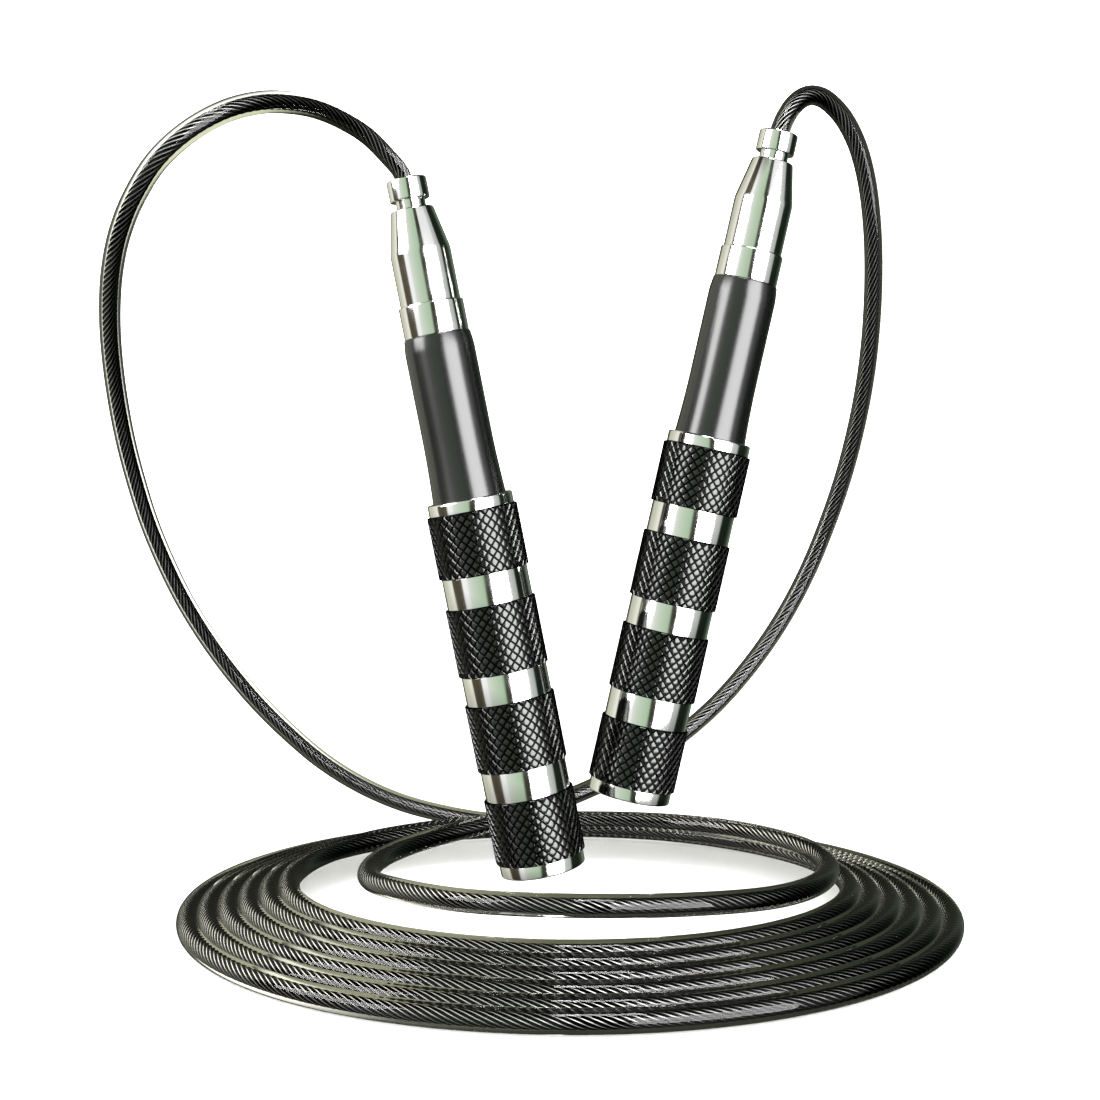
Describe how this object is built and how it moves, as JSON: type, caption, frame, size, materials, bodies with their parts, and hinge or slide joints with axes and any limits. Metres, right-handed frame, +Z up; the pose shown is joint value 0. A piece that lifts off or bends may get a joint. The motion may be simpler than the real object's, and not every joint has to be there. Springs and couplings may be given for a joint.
{
  "type": "speed jump rope",
  "caption": "Speed jump rope: two turned metal handles with knurled grips on ball bearings, and a jacketed steel wire rope coiled on the floor.",
  "frame": {"origin": "centre of the rope's coil, on the floor that it lies on", "axes": "+Z up from the floor, +X towards the right handle, +Y towards the side where both rope ends leave the coil"},
  "size_m": [0.1619, 0.1468, 0.1595],
  "materials": {
    "rope": "clear glossy jacket with an olive tint over dark steel wire",
    "polished_metal": "polished",
    "black_barrel": "black anodised, satin",
    "black_knurl": "black anodised diamond knurl, glossy on its points",
    "bearing_steel": "ground",
    "steel": "zinc plated",
    "ferrule_brass": "plain"
  },
  "bodies": {
    "rope_and_spindles": {"left_spindle": "polished_metal", "left_ferrule": "ferrule_brass", "left_spindle_nut": "steel", "left_inner_races": "bearing_steel", "right_spindle": "polished_metal", "right_ferrule": "ferrule_brass", "right_spindle_nut": "steel", "right_inner_races": "bearing_steel", "rope_coil": "rope", "rope_left_arc": "rope", "rope_right_arc": "rope"},
    "left_handle": {"left_outer_races": "bearing_steel", "left_bearing_spacer": "steel", "left_bearing_retainer": "steel", "left_nose_housing": "polished_metal", "left_lock_ring": "polished_metal", "left_barrel": "black_barrel", "left_front_ring": "polished_metal", "left_knurl_sleeve_1": "black_knurl", "left_knurl_sleeve_2": "black_knurl", "left_knurl_sleeve_3": "black_knurl", "left_knurl_sleeve_4": "black_knurl", "left_band_1": "polished_metal", "left_band_2": "polished_metal", "left_band_3": "polished_metal", "left_end_cap": "polished_metal"},
    "left_ball_set": {"left_balls": "bearing_steel", "left_ball_cages": "ferrule_brass"},
    "right_handle": {"right_outer_races": "bearing_steel", "right_bearing_spacer": "steel", "right_bearing_retainer": "steel", "right_nose_housing": "polished_metal", "right_lock_ring": "polished_metal", "right_barrel": "black_barrel", "right_front_ring": "polished_metal", "right_knurl_sleeve_1": "black_knurl", "right_knurl_sleeve_2": "black_knurl", "right_knurl_sleeve_3": "black_knurl", "right_knurl_sleeve_4": "black_knurl", "right_band_1": "polished_metal", "right_band_2": "polished_metal", "right_band_3": "polished_metal", "right_end_cap": "polished_metal"},
    "right_ball_set": {"right_balls": "bearing_steel", "right_ball_cages": "ferrule_brass"}
  },
  "joints": [
    {"name": "left_handle_spin", "type": "hinge", "parent": "rope_and_spindles", "child": "left_handle", "pos_m": [-0.0049, 0.0092, 0.0067], "axis": [-0.1925, -0.0262, 0.981], "continuous": true},
    {"name": "left_balls_roll", "type": "hinge", "parent": "rope_and_spindles", "child": "left_ball_set", "pos_m": [-0.0049, 0.0092, 0.0067], "axis": [-0.1925, -0.0262, 0.981], "continuous": true},
    {"name": "right_handle_spin", "type": "hinge", "parent": "rope_and_spindles", "child": "right_handle", "pos_m": [0.012, 0.0206, 0.0187], "axis": [0.2181, -0.0052, 0.9759], "continuous": true},
    {"name": "right_balls_roll", "type": "hinge", "parent": "rope_and_spindles", "child": "right_ball_set", "pos_m": [0.012, 0.0206, 0.0187], "axis": [0.2181, -0.0052, 0.9759], "continuous": true}
  ],
  "couplings": [
    {"joint": "left_balls_roll", "follows": "left_handle_spin", "ratio": 0.575},
    {"joint": "right_balls_roll", "follows": "right_handle_spin", "ratio": 0.575}
  ]
}
